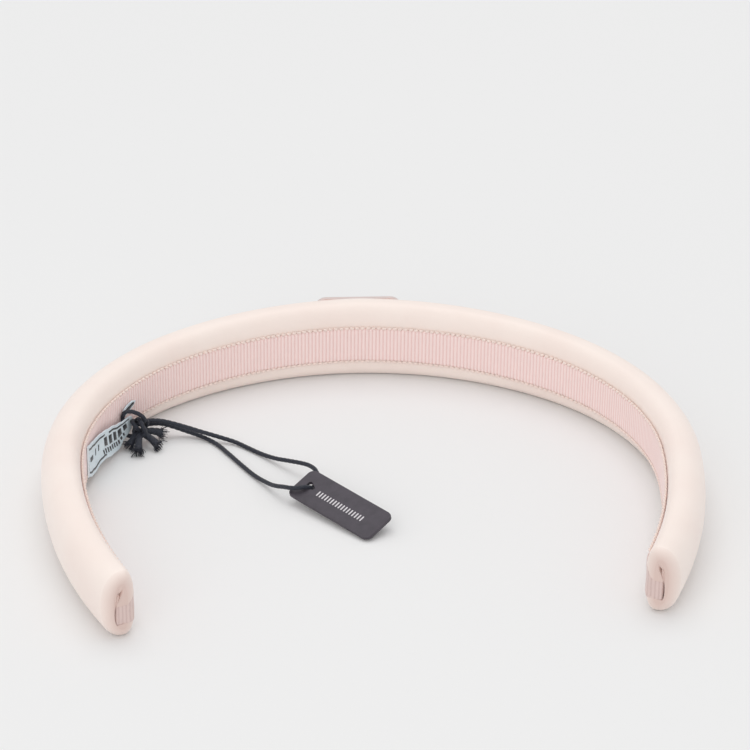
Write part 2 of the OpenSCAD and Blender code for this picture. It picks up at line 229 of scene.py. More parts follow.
# -------- mesh helpers
@contextlib.contextmanager
def editing(mesh):
    """A mesh's editable form, written back at the end."""
    bm = bmesh.new()
    bm.from_mesh(mesh)
    yield bm
    bm.to_mesh(mesh)
    bm.free()


def add_mesh(name, points, faces, uvs=None, hard_edges=None):
    """A smooth mesh object from points in mm; uvs has one pair for each corner of each face."""
    mesh = bpy.data.meshes.new(name)
    mesh.from_pydata([Vector(p) * MM for p in points], [], faces)
    if uvs:
        layer = mesh.uv_layers.new(name="UVMap")
        layer.data.foreach_set("uv", [value for uv in uvs for value in uv])
    with editing(mesh) as bm:
        bmesh.ops.recalc_face_normals(bm, faces=bm.faces)
    mesh.shade_smooth()
    if hard_edges:
        mark_hard(mesh, hard_edges)
    piece = bpy.data.objects.new(name, mesh)
    bpy.context.scene.collection.objects.link(piece)
    return piece


def mark_hard(mesh, angle):
    """Edges that turn by more than an angle stay crisp."""
    with editing(mesh) as bm:
        for edge in bm.edges:
            edge.smooth = not (len(edge.link_faces) == 2 and edge.calc_face_angle(0) > angle)


def merge_doubles(mesh):
    with editing(mesh) as bm:
        bmesh.ops.remove_doubles(bm, verts=bm.verts, dist=1e-6)
        bmesh.ops.recalc_face_normals(bm, faces=bm.faces)


def perimeter(ring):
    """Distances around a closed ring of points, from its first point back to it."""
    total = [0]
    for a, b in zip(ring, ring[1:] + ring[:1]):
        total.append(total[-1] + (b - a).length)
    return total


def skin(rings, along, around, capped=True):
    """Faces and UVs over closed rings of points; along and around are the UV positions."""
    count = len(rings[0])
    faces, uvs = [], []
    for r in range(len(rings) - 1):
        low, high = r * count, (r + 1) * count
        for i in range(count):
            j = (i + 1) % count
            faces.append((low + i, low + j, high + j, high + i))
            corners = ((r, i), (r, i + 1), (r + 1, i + 1), (r + 1, i))
            uvs += [(along[a], around[b]) for a, b in corners]
    if capped:
        last = (len(rings) - 1) * count
        for cap in (range(count), range(last, last + count)):
            faces.append(tuple(cap))
            uvs += [(0, 0)] * count
    return faces, uvs


def loft(name, rings, along, hard_edges=None, capped=True):
    """A mesh of one skin over rings of points in mm."""
    faces, uvs = skin(rings, along, perimeter(rings[len(rings) // 2]), capped)
    points = [p for ring in rings for p in ring]
    return add_mesh(name, points, faces, uvs, hard_edges)


def carried_frames(line):
    """Pairs of sideways unit directions, carried along a line without twist."""
    side = Vector((0.1, 0.2, 1))
    frames = []
    for i in range(len(line)):
        ahead = (line[min(i + 1, len(line) - 1)] - line[max(i - 1, 0)]).normalized()
        side = (side - side.dot(ahead) * ahead).normalized()
        frames.append((side.copy(), ahead.cross(side)))
    return frames


def distances(line):
    total = [0]
    for a, b in zip(line, line[1:]):
        total.append(total[-1] + (b - a).length)
    return total


def tube_parts(line, radius, sides):
    """Rings of a tube; radius is a function of the distance along it and of the angle."""
    along = distances(line)
    rings = []
    for p, (side, across), d in zip(line, carried_frames(line), along):
        ring = []
        for k in range(sides):
            a = math.tau * k / sides
            ring.append(p + radius(d, a) * (math.cos(a) * side + math.sin(a) * across))
        rings.append(ring)
    return rings, along


def catmull_rom(a, b, c, d, t):
    """A point between b and c, with a and d as their outer neighbours."""
    square = (2 * a - 5 * b + 4 * c - d) * t * t
    cube = (3 * b - a - 3 * c + d) * t**3
    return 0.5 * (2 * b + (c - a) * t + square + cube)


def smooth_line(points, step, closed=False):
    """A Catmull-Rom line through points, resampled to about one step between its points."""
    count = len(points)

    def at(i):
        return points[i % count] if closed else points[max(0, min(count - 1, i))]

    fine = []
    for i in range(count if closed else count - 1):
        a, b, c, d = at(i - 1), at(i), at(i + 1), at(i + 2)
        pieces = max(2, math.ceil((c - b).length / step))
        fine += [catmull_rom(a, b, c, d, k / pieces) for k in range(pieces)]
    if not closed:
        fine.append(points[-1].copy())
    return fine


def joined(name, parts, hard_edges=None):
    """One mesh of several closed skins, each given as rings and UV positions along them."""
    points, faces, uvs = [], [], []
    for rings, along in parts:
        start = len(points)
        own_faces, own_uvs = skin(rings, along, perimeter(rings[0]))
        points += [p for ring in rings for p in ring]
        faces += [tuple(start + i for i in face) for face in own_faces]
        uvs += own_uvs
    return add_mesh(name, points, faces, uvs, hard_edges)


# -------- materials
def linear(*rgb):
    """Linear values of an 8-bit colour as it looks on screen."""
    return tuple(
        v / 255 / 12.92 if v <= 10 else ((v / 255 + 0.055) / 1.055) ** 2.4 for v in rgb
    )


class Surface:
    """A material in the making, with short ways to add nodes to it."""

    def __init__(self, name, colour, roughness, **sockets):
        """Sockets are values of the shader by their names."""
        self.material = bpy.data.materials.new(name)
        self.material.use_nodes = True
        self.material.diffuse_color = (*colour, 1)
        self.tree = self.material.node_tree
        self.shader = self.tree.nodes["Principled BSDF"]
        sockets.update(Base_Color=(*colour, 1), Roughness=roughness)
        for key, value in sockets.items():
            self.shader.inputs[key.replace("_", " ")].default_value = value

    def feed(self, socket, value):
        self.tree.links.new(value, self.shader.inputs[socket])

    def node(self, kind, inputs=None, **settings):
        """A shader node; an input is a value, or the socket that feeds it."""
        node = self.tree.nodes.new("ShaderNode" + kind)
        for key, value in settings.items():
            setattr(node, key, value)
        for key, value in (inputs or {}).items():
            if isinstance(value, bpy.types.NodeSocket):
                self.tree.links.new(value, node.inputs[key])
            else:
                node.inputs[key].default_value = value
        return node

    def math(self, operation, *values):
        return self.node("Math", dict(enumerate(values)), operation=operation).outputs[0]

    def object_mm(self):
        """The place on the object, in millimetres."""
        place = self.node("TexCoord").outputs["Object"]
        return self.node("Mapping", {"Vector": place, "Scale": (1 / MM,) * 3}).outputs["Vector"]

    def uv_mm(self):
        """UV positions along a piece and around it, in millimetres."""
        parts = self.node("SeparateXYZ", {"Vector": self.node("TexCoord").outputs["UV"]})
        return parts.outputs["X"], parts.outputs["Y"]

    def noise(self, vector, scale, detail, roughness=0.5):
        inputs = {"Vector": vector, "Scale": scale, "Detail": detail, "Roughness": roughness}
        return self.node("TexNoise", inputs).outputs["Fac"]

    def wave(self, position, pitch):
        """A wave from 0 to 1 along a position, one for each pitch."""
        turn = self.math("MULTIPLY", position, math.tau / pitch)
        return self.math("MULTIPLY_ADD", self.math("COSINE", turn), 0.5, 0.5)

    def ramp(self, factor, *stops):
        """A colour ramp; each stop is a position and a colour."""
        node = self.node("ValToRGB", {"Fac": factor})
        elements = node.color_ramp.elements
        while len(elements) < len(stops):
            elements.new(0.5)
        for element, (position, colour) in zip(elements, stops):
            element.position = position
            element.color = (*colour, 1)
        return node.outputs["Color"]

    def paint(self, factor, *stops):
        """Base colour from a ramp."""
        self.feed("Base Color", self.ramp(factor, *stops))

    def bump(self, height, depth_mm, strength):
        """Relief from a height of 0 to 1."""
        inputs = {"Height": height, "Distance": depth_mm * MM, "Strength": strength}
        self.feed("Normal", self.node("Bump", inputs).outputs["Normal"])


RIB_PITCH = 0.87
# The leather's UV positions over a tip: the rounded edge comes before END_UV, by EDGE_UV_LENGTH,
# and the end face after it, with the slit END_UV_LENGTH further on
END_UV, EDGE_UV_LENGTH, END_UV_LENGTH = 200, 1, 8
# The leather darkens between these two positions: painted shade over the tip's rounded edge and end
# face
END_SHADE_FROM, END_SHADE_TO = END_UV - 0.95, END_UV + 0.1


def leather_material():
    """Smooth lambskin with a fine grain and faint clouding, with painted shade where it folds over
    a tip.
    """
    look = Surface(
        "leather", linear(246, 230, 223), 0.46,
        Sheen_Weight=0.25, Sheen_Roughness=0.4, Specular_IOR_Level=0.35,
    )
    place_mm = look.object_mm()
    cloud = look.noise(place_mm, scale=0.06, detail=3.0)
    shade, plain, light = linear(251, 235, 227), linear(253, 239, 231), linear(255, 242, 234)
    colour = look.ramp(cloud, (0.3, shade), (0.55, plain), (0.75, light))
    along, _ = look.uv_mm()
    # Painted shade: a darker leather colour from the rounded edge of each tip over its end face
    end_shade = look.node("MapRange", {"Value": along, "From Min": END_SHADE_FROM, "From Max": END_SHADE_TO})
    inputs = {"Fac": end_shade.outputs["Result"], "Color1": colour}
    end_shaded = look.node("MixRGB", {**inputs, "Color2": (*linear(224, 199, 190), 1)})
    look.feed("Base Color", end_shaded.outputs["Color"])
    cells = {"Vector": place_mm, "Scale": 2.6}
    grain = look.node("TexVoronoi", cells, feature="DISTANCE_TO_EDGE").outputs["Distance"]
    pores = look.ramp(grain, (0.0, (0.25,) * 3), (0.22, (1.0,) * 3))
    fine = look.noise(place_mm, scale=5.0, detail=3.0)
    height = look.math("MULTIPLY_ADD", fine, 0.35, pores)
    look.bump(height, depth_mm=0.012, strength=0.5)
    look.feed("Roughness", look.math("MULTIPLY_ADD", fine, 0.12, 0.4))
    return look.material


def ribbon_material(name, lit, deep):
    """Grosgrain: thick cross ribs with fine threads over them; painted shade darkens it between the
    ribs.
    """
    look = Surface(name, lit, 0.55, Sheen_Weight=0.35, Specular_IOR_Level=0.3)
    u, v = look.uv_mm()
    rib_wave = look.wave(u, RIB_PITCH)
    threads = look.wave(v, pitch=0.16)
    fleck = look.noise(look.object_mm(), scale=4.0, detail=3.0)
    # Painted shade: the deep colour in the grooves between the ribs and the lit colour on them,
    # with a random fleck
    tone = look.math("MULTIPLY_ADD", fleck, 0.35, look.math("MULTIPLY", rib_wave, 0.75))
    look.paint(tone, (0.12, deep), (0.62, lit))
    height = look.math("MULTIPLY_ADD", rib_wave, 0.5, look.math("MULTIPLY", threads, 0.4))
    look.bump(height, depth_mm=0.05, strength=0.5)
    return look.material


def thread_material(name, colour, deep, pitch):
    """Twisted sewing thread."""
    look = Surface(name, colour, 0.5, Sheen_Weight=0.3)
    u, v = look.uv_mm()
    twist = look.wave(look.math("ADD", u, look.math("MULTIPLY", v, 0.6)), pitch)
    look.paint(twist, (0.1, deep), (0.7, colour))
    look.bump(twist, depth_mm=0.04, strength=0.5)
    return look.material


def foam_material():
    """Open-cell foam."""
    look = Surface("foam", linear(238, 230, 205), 0.9)
    cells = look.node("TexVoronoi", {"Vector": look.object_mm(), "Scale": 1.8}).outputs["Distance"]
    look.paint(cells, (0.1, linear(212, 202, 172)), (0.5, linear(240, 233, 209)))
    look.bump(cells, depth_mm=0.25, strength=0.8)
    return look.material


def plastic_material(name, colour, worn, roughness, grain_mm):
    """Moulded plastic, coated board or its print: a fine grain with faint clouding."""
    look = Surface(name, colour, roughness)
    place_mm = look.object_mm()
    cloud = look.noise(place_mm, scale=0.5, detail=4.0, roughness=0.6)
    look.paint(cloud, (0.35, colour), (0.7, worn))
    grain = look.noise(place_mm, scale=1 / grain_mm, detail=4.0)
    look.bump(grain, depth_mm=0.02, strength=0.6)
    look.feed("Roughness", look.math("MULTIPLY_ADD", grain, 0.2, roughness - 0.1))
    return look.material


def metal_material(name, colour, roughness, stroke_mm):
    """Metal with a fine brushed grain along X."""
    look = Surface(name, colour, roughness, Metallic=1.0)
    brushed = look.node("Mapping", {"Vector": look.object_mm(), "Scale": (0.05, 1, 1)})
    strokes = look.noise(brushed.outputs["Vector"], scale=1 / stroke_mm, detail=3.0)
    darker = tuple(0.85 * c for c in colour)
    look.paint(strokes, (0.3, darker), (0.7, colour))
    look.feed("Roughness", look.math("MULTIPLY_ADD", strokes, 0.18, roughness - 0.09))
    look.bump(strokes, depth_mm=0.004, strength=0.4)
    return look.material


def enamel_material():
    """Enamel in the leather's pink, with a clear coat."""
    lit, deep = linear(240, 218, 213), linear(236, 212, 207)
    look = Surface("enamel", lit, 0.3, Coat_Weight=0.8, Coat_Roughness=0.08)
    cloud = look.noise(look.object_mm(), scale=0.25, detail=3.0)
    look.paint(cloud, (0.35, deep), (0.65, lit))
    look.bump(cloud, depth_mm=0.03, strength=0.3)
    return look.material


def cord_material():
    """Dark braided cord."""
    lit, deep = linear(38, 44, 60), linear(12, 14, 22)
    look = Surface("cord_braid", lit, 0.6, Sheen_Weight=0.12)
    u, v = look.uv_mm()
    slant = look.math("MULTIPLY", v, 1.2)
    one = look.wave(look.math("ADD", u, slant), pitch=0.62)
    other = look.wave(look.math("SUBTRACT", u, slant), pitch=0.62)
    plait = look.math("MAXIMUM", one, other)
    fibre = look.noise(look.object_mm(), scale=6.0, detail=3.0)
    tone = look.math("MULTIPLY_ADD", fibre, 0.5, look.math("MULTIPLY", plait, 0.5))
    look.paint(tone, (0.3, deep), (0.85, lit))
    look.bump(tone, depth_mm=0.06, strength=0.7)
    return look.material


def weave_material(name, lit, deep):
    """Damask label: a close satin weave."""
    look = Surface(name, lit, 0.5, Sheen_Weight=0.3)
    u, v = look.uv_mm()
    cross = look.math("MULTIPLY", look.wave(u, pitch=0.3), look.wave(v, pitch=0.22))
    fleck = look.noise(look.object_mm(), scale=3.0, detail=3.0)
    tone = look.math("MULTIPLY_ADD", fleck, 0.4, look.math("MULTIPLY", cross, 0.6))
    look.paint(tone, (0.15, deep), (0.6, lit))
    look.bump(cross, depth_mm=0.03, strength=0.6)
    return look.material


LEATHER = leather_material()
GROSGRAIN = ribbon_material("grosgrain", linear(255, 232, 228), linear(242, 206, 201))
# The ribbon's folded end over each tip: the lining's grosgrain in darker colours, painted shade for
# the end face
SHADED_TIP_GROSGRAIN = ribbon_material("grosgrain_tip_shaded", linear(226, 202, 196), linear(212, 186, 180))
STITCH_THREAD = thread_material(
    "stitch_thread", linear(255, 240, 232), linear(250, 224, 213), pitch=0.5
)
LABEL_THREAD = thread_material(
    "label_thread", linear(236, 240, 243), linear(190, 200, 206), pitch=0.3
)
FOAM = foam_material()
CORE_PLASTIC = plastic_material(
    "core_plastic", linear(232, 231, 226), linear(222, 221, 215), roughness=0.5, grain_mm=0.6
)
TAG_BOARD = plastic_material(
    "tag_board", linear(66, 61, 69), linear(75, 69, 78), roughness=0.55, grain_mm=0.25
)
TAG_INK = plastic_material(
    "tag_ink", linear(214, 210, 214), linear(226, 222, 226), roughness=0.5, grain_mm=0.3
)
BADGE_METAL = metal_material("badge_metal", linear(250, 232, 228), roughness=0.34, stroke_mm=0.12)
CLIP_STEEL = metal_material("clip_steel", linear(190, 192, 196), roughness=0.32, stroke_mm=0.1)
ENAMEL = enamel_material()
CORD_BRAID = cord_material()
LABEL_WEAVE = weave_material("label_weave", linear(240, 250, 255), linear(208, 224, 233))
LABEL_INK = weave_material("label_ink", linear(30, 37, 47), linear(12, 16, 24))


# -------- helpers for materials, halves of the band and runs
# The hoop's turns, in degrees, between which the band bends
BEND_FROM, BEND_TO = 18, 58


def dress(piece, material, slot, *nodes):
    """Material and the CAD nodes that a piece stands for; the slot is not used."""
    piece.data.materials.append(material)
    if nodes:
        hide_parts(*nodes)


def dress_half(piece, side, material, slot, part):
    """One half of a part of the band, from the crown into its arm."""
    dress(piece, material, slot, f"{part}_crown", f"{part}_{SIDE_NAME[side]}")
    start, end = (hoop(side, run_at(turn), CORE_OUTSIDE, 0) * MM for turn in (BEND_FROM, BEND_TO))
    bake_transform(piece)
    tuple(start)
    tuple(end)


# The first step from the crown is very short, so that both halves meet evenly
SEAM_STEP = 0.05


def runs(end, step):
    """Runs from the crown to an end, evenly about a step apart."""
    count = math.ceil(end / step)
    return [0, SEAM_STEP] + [end * i / count for i in range(1, count + 1)]


# -------- the cord and its tag
CORD_D = 1.05
ROUTE = [
    Vector(p)
    for p in (
        (-52.3, 23.1, 5.3), (-50.5, 24.1, 5.1), (-48, 24.5, 4.7), (-45.5, 24.6, 4),
        (-42.2, 24.2, 3.1), (-39, 23.3, 2.4), (-36.5, 22.6, 1.9), (-34.2, 22, 1.4),
        (-30.8, 20.7, 0.8), (-27.8, 18.1, 0.6), (-24.7, 14.9, 0.7), (-21.7, 11.5, 1.4),
        (-18.8, 8.5, 2.4), (-15.7, 5.4, 3.4), (-14, 3.3, 3.9), (-12.8, 1, 4.1),
        (-12.3, -1.1, 3.6), (-12.8, -3, 3.3), (-13.3, -4.8, 3.1), (-13.8, -5.9, 3.3),
        (-14.7, -6.8, 4), (-15.9, -7.3, 4.3), (-17.3, -7.4, 4.2), (-18.7, -6.8, 3.9),
        (-20.3, -5, 3.2), (-21.8, -3, 2.3), (-23.5, -0.2, 1.4), (-26.5, 4.7, 0.7),
        (-29.4, 9.9, 0.6), (-32.5, 15.7, 0.6), (-34.9, 19.9, 0.6), (-37.5, 23, 0.6),
        (-39.6, 24.5, 0.8), (-42.5, 25.4, 1.5), (-45.5, 25.6, 2.6), (-48, 25.5, 3.4),
        (-50.5, 24.7, 3.8), (-52.3, 23.4, 3.9),
    )
]
BRAID_STRANDS, BRAID_PITCH = 3, 1.3
# How far the strands stand proud, as a share of the cord's radius
BRAID_RELIEF = 0.1
CORD_SIDES, CORD_STEP = 18, 0.14


def braided(diameter):
    """The radius of a braided cord: strands that cross both ways, proud of a round middle."""

    def radius(d, a):
        turn = math.tau * d / BRAID_PITCH
        one = math.cos(BRAID_STRANDS * a + turn)
        other = math.cos(BRAID_STRANDS * a - turn)
        return diameter / 2 * (1 - BRAID_RELIEF + BRAID_RELIEF * max(one, other))

    return radius


def braid_parts(line):
    return tube_parts(line, braided(CORD_D), CORD_SIDES)


def dress_cord(piece, node):
    """A braided piece, which rides with the left arm."""
    dress(piece, CORD_BRAID, "cord_braid", node)
    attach(piece, "left_arm")
    return piece


def make_cord():
    """The two strands, from the knot to the tag's hole and back."""
    line = smooth_line(ROUTE, CORD_STEP)
    rings, along = braid_parts(line)
    return dress_cord(loft("tag_cord_braid", rings, along), "tag_cord"), line, along[-1]


# The eye's turn of the hoop, its outward position and its height
EYE = (
    (57.8, -4.4, 3.4), (58.6, -3.4, 2.5), (59.4, -2.3, 2.5), (59.9, -1.4, 3.3), (60, -1.12, 4.6),
    (60, -1.12, 6.4), (60, -1.15, 7.8), (59.9, -1.6, 8.7), (59.4, -2.5, 9), (58.6, -3.5, 8.7),
    (57.6, -4.5, 7.8), (56.8, -5, 6.6), (57, -4.8, 5.6),
)


def make_eye():
    """The cord's turn round the label, where it hangs from the band."""
    line = smooth_line([hoop(LEFT, run_at(turn), n, z) for turn, n, z in EYE], CORD_STEP)
    return dress_cord(joined("cord_eye_braid", [braid_parts(line)]), "cord_eye")


KNOT_AT = Vector((-53, 21.8, 4.6))
KNOT_SIZE, KNOT_RISE, KNOT_POINTS = 0.74, 1.4, 36
KNOT_TILT = Matrix.Rotation(0.9, 3, "X") @ Matrix.Rotation(0.5, 3, "Y")
WRAP_R, WRAP_WAVE = 1.9, 0.25
WRAP_TURN = Matrix.Rotation(0.6, 3, "Z")


def trefoil(t):
    """A point of the knot's line, at an angle round it."""
    x = math.sin(t) + 2 * math.sin(2 * t)
    y = math.cos(t) - 2 * math.cos(2 * t)
    return KNOT_AT + KNOT_SIZE * (KNOT_TILT @ Vector((x, y, -KNOT_RISE * math.sin(3 * t))))


def wrap(t):
    """A point of the single turn round the knot's middle."""
    p = Vector((WRAP_WAVE * math.sin(2 * t), WRAP_R * math.cos(t), WRAP_R * math.sin(t)))
    return KNOT_AT + WRAP_TURN @ p


def make_knot():
    """An overhand knot drawn tight, with a wrap round its middle."""
    parts = []
    for loop in (trefoil, wrap):
        points = [loop(math.tau * i / KNOT_POINTS) for i in range(KNOT_POINTS)]
        line = smooth_line(points, CORD_STEP, closed=True)
        line.append(line[0].copy())
        parts.append(braid_parts(line))
    return dress_cord(joined("cord_knot_braid", parts), "cord_knot")


# Where the four cut ends reach
TAILS = [
    Vector(p) for p in ((-47.4, 24, 1.6), (-48.3, 18.4, 1), (-53.4, 15.4, 1), (-55.6, 18.8, 1))
]
# A tail's thickness, how much it spreads, and its start: out from the knot's middle, and below it
TAIL_D, TAIL_FLARE, TAIL_START, TAIL_DROP = 1.6, 0.35, 0.5, 1
# How high its middle bows, and the share of its outer half that is still braided
TAIL_BOW, TAIL_BRAIDED = 0.35, 0.7
FIBRES, FIBRE_R, FIBRE_SIDES, FIBRE_STEP = 64, 0.1, 5, 0.3
# Ranges of a fibre's length, lean and distance out, the last as a share of the tail's thickness
FIBRE_LENGTH, FIBRE_LEAN, FIBRE_OUT = (0.7, 1.8), (0.1, 1.1), (0.05, 0.45)
# How far a fibre starts inside the braid, bows out and hooks at its end
FIBRE_ROOT, FIBRE_BOW, FIBRE_HOOK = 0.4, 0.25, 0.3


def make_fibre(chance, neck, ahead):
    """A loose tapered fibre from a tail's neck, clear of the surface below."""
    way = Vector([chance.uniform(-1, 1) for _ in range(3)]).normalized()
    out = (way - way.dot(ahead) * ahead).normalized()
    lean = chance.uniform(*FIBRE_LEAN)
    root = neck - FIBRE_ROOT * ahead + out * chance.uniform(*FIBRE_OUT) * TAIL_D
    long = chance.uniform(*FIBRE_LENGTH)
    hook = Vector([chance.uniform(-FIBRE_HOOK, FIBRE_HOOK) for _ in range(3)])
    tip = root + long * (ahead + lean * out) + hook
    bow = mix(root, tip, 0.55) + FIBRE_BOW * out
    points = [Vector((p.x, p.y, max(p.z, 1.2 * FIBRE_R))) for p in (root, bow, tip)]
    line = smooth_line(points, FIBRE_STEP)
    far = distances(line)[-1]
    return tube_parts(line, lambda d, a: FIBRE_R * (1 - 0.5 * d / far), FIBRE_SIDES)


def make_tails():
    """Four cut ends, each a short braided stub that frays into loose fibres."""
    chance = random.Random(7)
    parts = []
    for end in TAILS:
        start = KNOT_AT + (end - KNOT_AT).normalized() * TAIL_START - Vector((0, 0, TAIL_DROP))
        middle = mix(start, end, 0.5) + Vector((0, 0, TAIL_BOW))
        neck = mix(middle, end, TAIL_BRAIDED)
        line = smooth_line([start, middle, neck], CORD_STEP)
        reach = distances(line)[-1]

        def flared(d, a, reach=reach):
            return braided(TAIL_D)(d, a) * (1 + TAIL_FLARE * (d / reach) ** 3)

        parts.append(tube_parts(line, flared, CORD_SIDES))
        ahead = (end - middle).normalized()
        parts += [make_fibre(chance, neck, ahead) for _ in range(FIBRES)]
    return dress_cord(joined("cord_tails_frayed", parts), "cord_tails")


TAG_L, TAG_W, TAG_T, TAG_CORNER = 25.5, 8.8, 0.8, 1.6
TAG_HOLE_R, TAG_HOLE_X = 1.4, -9.4
# Width of the ring of faces round the hole
TAG_COLLAR = 0.9
TAG_BEVEL = 0.12
# The eased edge, from the tag's face to its side: distances in and down, in bevel widths
TAG_EASING = ((1, 0), (0.7, 0.3), (0, 1))
TAG_AT = Vector((-7.8, -13.3, 3))
TAG_TURN = (
    Matrix.Rotation(math.radians(-47), 3, "Z")
    @ Matrix.Rotation(math.radians(4), 3, "Y")
    @ Matrix.Rotation(math.radians(20), 3, "X")
)


def tag_loop(points, z):
    """A loop of points on the tag, at a height from its middle plane."""
    return [TAG_AT + TAG_TURN @ Vector((x, y, z)) for x, y in points]


def rounded_outline(length, width, corner, steps):
    """Points round a rectangle with round corners, evenly turned, from its right side."""
    outline = []
    for quarter in range(4):
        cx = (length / 2 - corner) * (1 if quarter in (0, 3) else -1)
        cy = (width / 2 - corner) * (1 if quarter in (0, 1) else -1)
        for i in range(steps + 1):
            a = math.pi / 2 * (quarter + i / steps)
            outline.append((cx + corner * math.cos(a), cy + corner * math.sin(a)))
    return outline


def towards(points, targets, distance):
    """Points moved a distance towards their targets."""
    pairs = zip(map(Vector, points), map(Vector, targets))
    return [p + distance * (target - p).normalized() for p, target in pairs]


def make_tag():
    """A stiff plate with eased edges and a round hole."""
    outline = rounded_outline(TAG_L, TAG_W, TAG_CORNER, 8)
    angles = [math.atan2(y, x - TAG_HOLE_X) for x, y in outline]
    hole = [
        (TAG_HOLE_X + TAG_HOLE_R * math.cos(a), TAG_HOLE_R * math.sin(a)) for a in angles
    ]
    collar = towards(hole, outline, TAG_COLLAR)
    half = TAG_T / 2
    front = [(collar, half)]
    for inward, down in TAG_EASING:
        front.append((towards(outline, hole, inward * TAG_BEVEL), half - down * TAG_BEVEL))
    back = [(points, -z) for points, z in reversed(front)]
    levels = front + back + [(hole, -half), (hole, half), front[0]]
    loops = [tag_loop(points, z) for points, z in levels]
    along = range(len(loops))
    tag = loft("hang_tag_plate", loops, along, hard_edges=math.radians(40), capped=False)
    merge_doubles(tag.data)
    dress(tag, TAG_BOARD, "tag_plate", "hang_tag")
    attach(tag, "tag")
    return tag


TICKS, TICK_FROM, TICK_PITCH, TICK_ROW = 17, -6.2, 0.85, -0.5
TICK_W, TICK_HEIGHT, TICK_ROUND, TICK_T, TICK_SINK = 0.34, 1.5, 0.12, 0.06, 0.02


def make_ticks():
    """The tag's print, as a plain row of even ticks."""
    low = TAG_T / 2 - TICK_SINK
    shape = rounded_outline(TICK_W, TICK_HEIGHT, TICK_ROUND, 2)
    parts = []
    for k in range(TICKS):
        middle = TICK_FROM + k * TICK_PITCH
        points = [(middle + x, TICK_ROW + y) for x, y in shape]
        parts.append(([tag_loop(points, z) for z in (low, low + TICK_T)], [0, 1]))
    ticks = joined("hang_tag_ticks", parts, hard_edges=math.radians(40))
    dress(ticks, TAG_INK, "tag_plate")
    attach(ticks, "tag")


cord, cord_line, cord_length = make_cord()
cord_pieces = [make_eye(), make_knot(), make_tails(), make_tag()]
make_ticks()
[p * MM for p in cord_line]


# -------- the padded band
# Angles round the section: even over the outside, and closer beside the lining
INNER_TURNS = [math.radians(90 + 77 * (i / 14) ** 1.4) for i in range(1, 15)]
OUTER_TURNS = [math.radians(-90 + 7.5 * i) for i in range(25)]
AROUND = [-a for a in reversed(INNER_TURNS)] + OUTER_TURNS + INNER_TURNS
COVER_STEP, PAD_STEP = 0.62, 2.2

# The stitches' pull on the leather: pitch and depth, and its middle and width by the ribbon
PUCKER_PITCH, PUCKER_DEPTH, PUCKER_AT, PUCKER_WIDTH = 3.1, 0.07, 0.6, 1.1
# It ends at this outward position, and this far in under the ribbon's edge
PUCKER_N, PUCKER_UNDER = 3, -1


def pucker(side, run, n, z):
    """How far the stitches draw the leather in beside the ribbon, in mm."""
    beside = abs(z - lining_z(side, run)) - RIBBON_W / 2
    if n > PUCKER_N or beside < PUCKER_UNDER:
        return 0
    wobble = 0.6 * math.sin(0.9 * run) + 0.4 * math.sin(2.3 * run + 1)
    draw = 0.5 + 0.5 * math.cos(math.tau * run / PUCKER_PITCH + wobble)
    return PUCKER_DEPTH * draw * bell(beside, PUCKER_AT, PUCKER_WIDTH)


# The padding's unevenness, how it varies along and around, and how far from the crown it grows
SWELL, SWELL_ALONG, SWELL_AROUND, SWELL_GROWS = 0.12, 0.045, 1.1, 4
# Less of it is left on the edges, beyond this share of their rise
SWELL_EDGE, SWELL_EDGE_SHARE = 0.85, 0.3


def pad_swell(side, run, angle):
    """How far the padding stands out under the leather, in mm; none beside the lining."""
    c, s = math.cos(angle), math.sin(angle)
    if c <= -0.2:
        return 0
    p = Vector((SWELL_ALONG * run, SWELL_AROUND * c, SWELL_AROUND * s + 9 * side))
    swell = SWELL * noise.noise(p) * (1 - math.exp(-run / SWELL_GROWS))
    return swell * SWELL_EDGE_SHARE if abs(s) > SWELL_EDGE else swell


def cover_row(side, run, inset, seat):
    """One side of the leather's section, from one turned-in edge round to the other."""
    middle = lining_z(side, run)
    row = [hoop(side, run, inset, middle - COVER_GAP / 2, seat)]
    for angle in AROUND:
        n, z = section(side, run, angle, inset)
        n += pucker(side, run, n, z) + pad_swell(side, run, angle)
        row.append(hoop(side, run, n, z, seat))
    row.append(hoop(side, run, inset, middle + COVER_GAP / 2, seat))
    return row


# The closed end: the radius it rounds over with, and the slit that the ribbon tucks into
TIP_ROUND = 2.25
SLIT_N = {LEFT: 5.1, RIGHT: 4.4}
SLIT_Z, SLIT_HALF_W, SLIT_HALF_H = 5.85, 0.26, 2.3
# The leather leaves the ribbon's end bare to this height both sides of the slit's middle
BARE_HALF = 2.2
# The leather's lips go round this share of the slit; the ribbon's end fills the rest
LIP_SHARE = 0.6
# Section angle of the leather's turned-in edges
TURNED_IN = math.radians(172)
# The gathered leather's folds, hole and ditch, and the share of the way to the slit they end at
FOLD_DEPTH, HOLE_DEPTH, DITCH_DEPTH, CREASES_END = 0.22, 1.5, 0.5, 0.99


def tip_crease(angle, f):
    """Folds where the leather gathers over the end, as a distance in from its end face."""
    turn = math.degrees(angle)
    gather = bell(turn, 95, 50) * math.sin(math.pi * min(f, 1)) ** 1.5
    folds = gather * math.cos(9 * angle + 2.5 * f)
    hole = bell(turn, 113, 14) * bell(f, 0.46, 0.12)
    ditch = bell(turn, 98, 28) * bell(f, 0.42, 0.07)
    return FOLD_DEPTH * folds + HOLE_DEPTH * hole + DITCH_DEPTH * ditch


